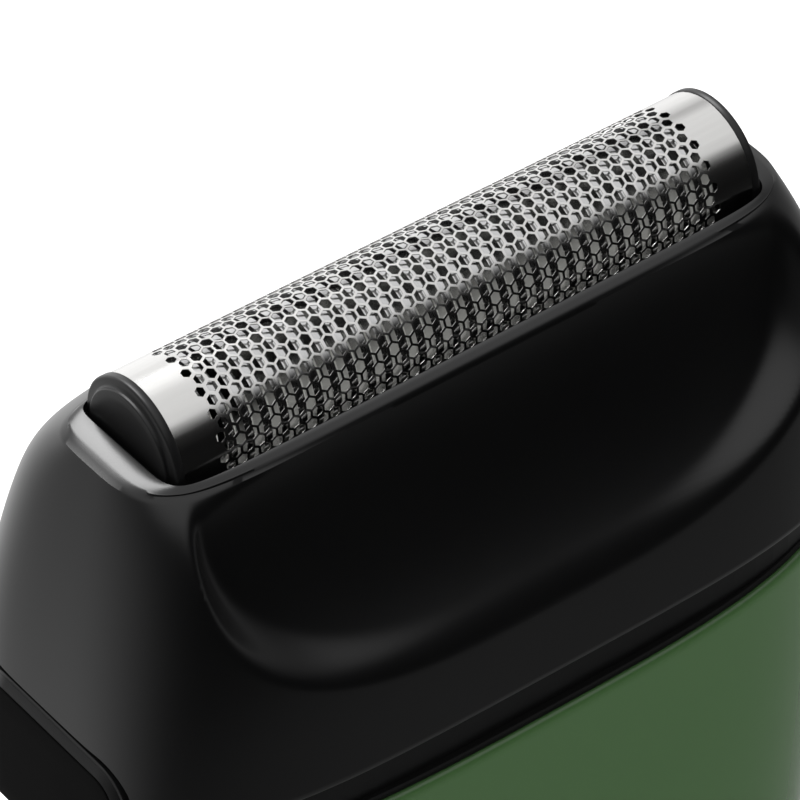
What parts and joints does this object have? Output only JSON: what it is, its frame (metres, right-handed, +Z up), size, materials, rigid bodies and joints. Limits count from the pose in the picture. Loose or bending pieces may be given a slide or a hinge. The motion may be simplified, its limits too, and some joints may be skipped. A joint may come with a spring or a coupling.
{
  "type": "foil shaver",
  "caption": "Cordless foil shaver with a floating perforated foil head over an oscillating cutter, release buttons, motor, battery and hand-sized body.",
  "frame": {"origin": "middle of the flat base that the shaver stands on", "axes": "+Z up the body to the foil, +X along the foil to the right, -Y to the front with the power button"},
  "size_m": [0.059, 0.026, 0.1206],
  "materials": {
    "cover_gloss": "gloss black moulded cover",
    "black_satin": "satin black moulding",
    "inner_black": "plain black moulding",
    "shell_green": "satin gloss green moulding",
    "foil_steel": "bright rolled steel",
    "cutter_steel": "ground steel",
    "spring_steel": "drawn wire",
    "white_moulding": "natural acetal",
    "steel": "ground steel",
    "zinc_can": "plated steel",
    "bronze": "sintered bronze",
    "copper_winding": "varnished winding",
    "magnet": "ferrite",
    "bracket_alloy": "stamped",
    "cell_wrap": "shrink wrap",
    "board_green": "solder mask",
    "chip_black": "moulded packages",
    "switch_metal": "stamped cover",
    "clear_lens": "clear moulding",
    "red_lead": "insulated lead",
    "black_lead": "insulated lead",
    "gasket_grey": "elastomer",
    "seal_rubber": "elastomer",
    "satin_metal": "satin",
    "bright_ring": "plated"
  },
  "bodies": {
    "handle": {"motor_magnets": "magnet", "motor_bearing": "bronze", "motor_can": "zinc_can", "motor_end_bell": "inner_black", "motor_terminals": "bronze", "motor_bracket": "bracket_alloy", "motor_screws": "steel", "chassis": "inner_black", "battery_cell_left": "cell_wrap", "battery_cell_right": "cell_wrap", "battery_tabs": "switch_metal", "circuit_board": "board_green", "board_chips": "chip_black", "power_switch": "switch_metal", "status_led": "clear_lens", "light_pipe": "clear_lens", "charge_port": "switch_metal", "charge_port_tongue": "chip_black", "motor_leads": "red_lead", "battery_leads": "black_lead", "collar_frame": "black_satin", "collar_gasket": "gasket_grey", "post_seal": "seal_rubber", "release_springs": "spring_steel", "front_shell": "shell_green", "rear_shell": "shell_green", "bottom_cap": "shell_green", "bottom_screws": "steel", "button_bezel": "bright_ring"},
    "head": {"head_cover": "cover_gloss", "head_inner_frame": "inner_black", "foil_springs": "spring_steel"},
    "foil_cassette": {"foil": "foil_steel", "foil_frame": "black_satin", "foil_cap_left": "black_satin", "foil_cap_right": "black_satin"},
    "cutter": {"cutter_blades": "cutter_steel", "cutter_carrier": "white_moulding"},
    "bridge": {"drive_bridge": "white_moulding", "drive_post": "steel", "cutter_spring": "spring_steel"},
    "left_leg": {"flexure_left": "white_moulding"},
    "right_leg": {"flexure_right": "white_moulding"},
    "rotor": {"motor_shaft": "steel", "motor_rotor": "copper_winding", "eccentric_cam": "bronze", "crank_pin": "steel"},
    "left_release": {"release_button_left": "black_satin"},
    "right_release": {"release_button_right": "black_satin"},
    "power_key": {"power_button": "satin_metal"}
  },
  "joints": [
    {"name": "head_lift", "type": "slide", "parent": "handle", "child": "head", "axis": [0, 0, 1], "range_m": [0, 0.03]},
    {"name": "foil_float", "type": "slide", "parent": "head", "child": "foil_cassette", "axis": [0, 0, 1], "range_m": [-0.0015, 0], "stiffness_N_per_m": 700, "springref_m": 0.0008, "deforming": ["foil_springs"]},
    {"name": "cutter_drive", "type": "slide", "parent": "handle", "child": "bridge", "axis": [1, 0, 0], "range_m": [-0.0011, 0.0011], "stiffness_N_per_m": 900},
    {"name": "cutter_float", "type": "slide", "parent": "bridge", "child": "cutter", "axis": [0, 0, 1], "range_m": [-0.0015, 0], "deforming": ["cutter_spring"]},
    {"name": "left_leg_swing", "type": "hinge", "parent": "handle", "child": "left_leg", "pos_m": [-0.014, 0, 0.06], "axis": [0, 1, 0], "range_deg": [-3, 3]},
    {"name": "right_leg_swing", "type": "hinge", "parent": "handle", "child": "right_leg", "pos_m": [0.014, 0, 0.06], "axis": [0, 1, 0], "range_deg": [-3, 3]},
    {"name": "motor_spin", "type": "hinge", "parent": "handle", "child": "rotor", "pos_m": [0, 0, 0.0703], "axis": [0, 0, 1], "continuous": true},
    {"name": "left_release_press", "type": "slide", "parent": "handle", "child": "left_release", "axis": [1, 0, 0], "range_m": [0, 0.0012], "stiffness_N_per_m": 800, "springref_m": -0.0008},
    {"name": "right_release_press", "type": "slide", "parent": "handle", "child": "right_release", "axis": [-1, 0, 0], "range_m": [0, 0.0012], "stiffness_N_per_m": 800, "springref_m": -0.0008},
    {"name": "power_press", "type": "slide", "parent": "handle", "child": "power_key", "axis": [0, 1, 0], "range_m": [0, 0.0007], "stiffness_N_per_m": 1200, "springref_m": -0.0006}
  ],
  "couplings": [
    {"joint": "cutter_float", "follows": "foil_float", "ratio": 1},
    {"joint": "left_leg_swing", "follows": "cutter_drive", "rad_per_m": 46.083},
    {"joint": "right_leg_swing", "follows": "cutter_drive", "rad_per_m": 46.083}
  ]
}
